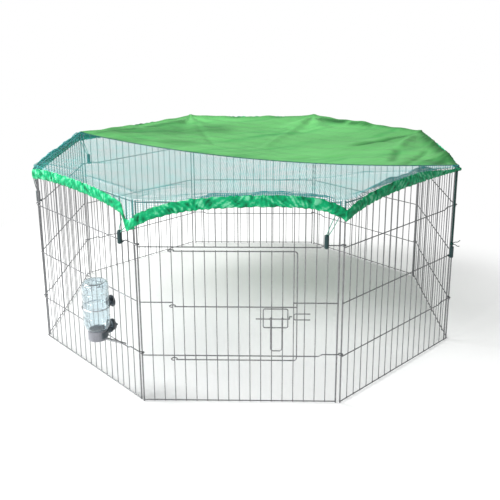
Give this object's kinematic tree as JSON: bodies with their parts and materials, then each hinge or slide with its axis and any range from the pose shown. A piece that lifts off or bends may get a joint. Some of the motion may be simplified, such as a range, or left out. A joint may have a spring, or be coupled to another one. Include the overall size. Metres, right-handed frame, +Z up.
{
  "type": "outdoor rabbit run",
  "caption": "Octagonal folding wire run with a latched wire door, a half shade and half net cover tied on at its corners, and a clip-on water bottle.",
  "frame": {"origin": "middle of the ring of panels, on the ground", "axes": "+Z up; the door's panel faces -Y; +X to its right as seen from outside"},
  "size_m": [1.411, 1.4112, 0.6342],
  "materials": {
    "galvanised_wire": "galvanised, semi-matt",
    "net_cloth": "fine knotted net",
    "shade_cloth": "thin woven nylon, slight sheen",
    "hem_cloth": "gathered satin ribbon",
    "seam_tape": "woven tape",
    "hook_plastic": "dark moulded plastic",
    "elastic_cord": "covered elastic",
    "knot_cord": "covered elastic, dark",
    "clear_bottle": "clear, glossy",
    "cap_plastic": "moulded, satin",
    "bracket_plastic": "moulded, satin",
    "clip_plastic": "moulded, satin",
    "tube_steel": "drawn tube, polished"
  },
  "bodies": {
    "front": {"panel_1": "galvanised_wire", "latch_keeper": "galvanised_wire", "net_1": "net_cloth", "hem_1": "hem_cloth", "hook_2": "hook_plastic", "cord_2": "elastic_cord"},
    "panel_2": {"panel_2": "galvanised_wire", "net_2": "net_cloth", "hem_2": "hem_cloth", "seam_tape_2": "seam_tape", "hook_3": "hook_plastic", "cord_3": "elastic_cord", "corner_knot": "knot_cord"},
    "panel_3": {"panel_3": "galvanised_wire", "shade_3": "shade_cloth", "hem_3": "hem_cloth", "hook_4": "hook_plastic", "cord_4": "elastic_cord"},
    "panel_4": {"panel_4": "galvanised_wire", "shade_4": "shade_cloth", "hem_4": "hem_cloth", "hook_5": "hook_plastic", "cord_5": "elastic_cord"},
    "panel_5": {"panel_5": "galvanised_wire", "shade_5": "shade_cloth", "hem_5": "hem_cloth", "hook_6": "hook_plastic", "cord_6": "elastic_cord"},
    "panel_6": {"panel_6": "galvanised_wire", "shade_6": "shade_cloth", "hem_6": "hem_cloth", "hook_7": "hook_plastic", "cord_7": "elastic_cord"},
    "panel_7": {"panel_7": "galvanised_wire", "net_7": "net_cloth", "hem_7": "hem_cloth", "seam_tape_7": "seam_tape", "hook_8": "hook_plastic", "cord_8": "elastic_cord"},
    "panel_8": {"panel_8": "galvanised_wire", "net_8": "net_cloth", "hem_8": "hem_cloth", "hook_1": "hook_plastic", "cord_1": "elastic_cord", "bottle_cap": "cap_plastic", "drinking_tube": "tube_steel", "bottle_ring": "galvanised_wire", "ring_clip": "clip_plastic", "cap_bracket": "bracket_plastic", "bracket_nut": "bracket_plastic"},
    "door": {"door": "galvanised_wire", "latch_guide": "galvanised_wire"},
    "latch_rod": {"latch_rod": "galvanised_wire"},
    "latch_handle": {"latch_handle": "galvanised_wire"},
    "bottle": {"water_bottle": "clear_bottle"},
    "ball": {"tube_ball": "tube_steel"}
  },
  "joints": [
    {"name": "fold", "type": "hinge", "parent": "front", "child": "panel_2", "pos_m": [0.285, -0.68805, 0], "axis": [0, 0, -1], "range_deg": [0, 115], "deforming": ["net_1", "net_2", "shade_3", "shade_4", "shade_5", "shade_6", "net_7", "net_8", "hem_1", "hem_2", "hem_3", "hem_4", "hem_5", "hem_6", "hem_7", "hem_8", "seam_tape_2", "seam_tape_7", "cord_1", "cord_2", "cord_3", "cord_4", "cord_5", "cord_6", "cord_7", "cord_8"]},
    {"name": "fold_v3", "type": "hinge", "parent": "panel_2", "child": "panel_3", "pos_m": [0.68805, -0.285, 0], "axis": [0, 0, 1], "range_deg": [0, 115]},
    {"name": "fold_v4", "type": "hinge", "parent": "panel_3", "child": "panel_4", "pos_m": [0.68805, 0.285, 0], "axis": [0, 0, -1], "range_deg": [0, 115]},
    {"name": "fold_v5", "type": "hinge", "parent": "panel_4", "child": "panel_5", "pos_m": [0.285, 0.68805, 0], "axis": [0, 0, 1], "range_deg": [0, 115]},
    {"name": "fold_v1", "type": "hinge", "parent": "front", "child": "panel_8", "pos_m": [-0.285, -0.68805, 0], "axis": [0, 0, -1], "range_deg": [0, 115]},
    {"name": "fold_v8", "type": "hinge", "parent": "panel_8", "child": "panel_7", "pos_m": [-0.68805, -0.285, 0], "axis": [0, 0, 1], "range_deg": [0, 115]},
    {"name": "fold_v7", "type": "hinge", "parent": "panel_7", "child": "panel_6", "pos_m": [-0.68805, 0.285, 0], "axis": [0, 0, -1], "range_deg": [0, 115]},
    {"name": "door_hinge", "type": "hinge", "parent": "front", "child": "door", "pos_m": [-0.19217, -0.68805, 0.3], "axis": [0, 0, -1], "range_deg": [0, 150]},
    {"name": "latch_slide", "type": "slide", "parent": "door", "child": "latch_rod", "axis": [1, 0, 0], "range_m": [-0.014, 0.006]},
    {"name": "handle_swing", "type": "hinge", "parent": "latch_rod", "child": "latch_handle", "pos_m": [0.0995, -0.7008, 0.268], "axis": [-1, 0, 0], "range_deg": [0, 120]},
    {"name": "bottle_twist", "type": "hinge", "parent": "panel_8", "child": "bottle", "pos_m": [-0.42858, -0.61632, 0.2], "axis": [0, 0, 1], "range_deg": [0, 360]},
    {"name": "ball_lift", "type": "slide", "parent": "panel_8", "child": "ball", "axis": [-0.5997, -0.5997, 0.5299], "range_m": [0, 0.0015]}
  ],
  "couplings": [
    {"joint": "fold_v3", "follows": "fold", "ratio": 1},
    {"joint": "fold_v4", "follows": "fold", "ratio": 1},
    {"joint": "fold_v5", "follows": "fold", "ratio": 1},
    {"joint": "fold_v1", "follows": "fold", "ratio": 1},
    {"joint": "fold_v8", "follows": "fold", "ratio": 1},
    {"joint": "fold_v7", "follows": "fold", "ratio": 1}
  ]
}
